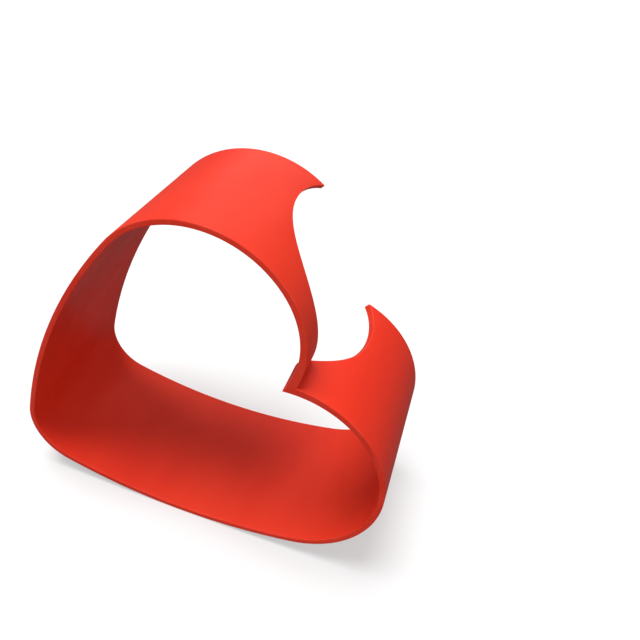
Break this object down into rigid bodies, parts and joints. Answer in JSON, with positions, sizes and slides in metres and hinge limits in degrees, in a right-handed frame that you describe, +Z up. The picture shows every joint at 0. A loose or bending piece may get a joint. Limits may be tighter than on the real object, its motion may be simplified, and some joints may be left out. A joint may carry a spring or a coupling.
{
  "type": "bottle holder",
  "caption": "Heart-shaped plastic band that lies on its side and holds a bottle at a slant in a round cut-out of its upper arm.",
  "frame": {"origin": "bottom centre of the bounding box, on the surface that the holder lies on", "axes": "+Z up, +Y from the front edge of the band to the back edge where the bottle hole opens, +X from the tip of the heart towards its lobes"},
  "size_m": [0.209, 0.085, 0.1966],
  "materials": {
    "red_plastic": "satin red plastic"
  },
  "bodies": {
    "root": {"heart_band": "red_plastic"}
  },
  "joints": []
}
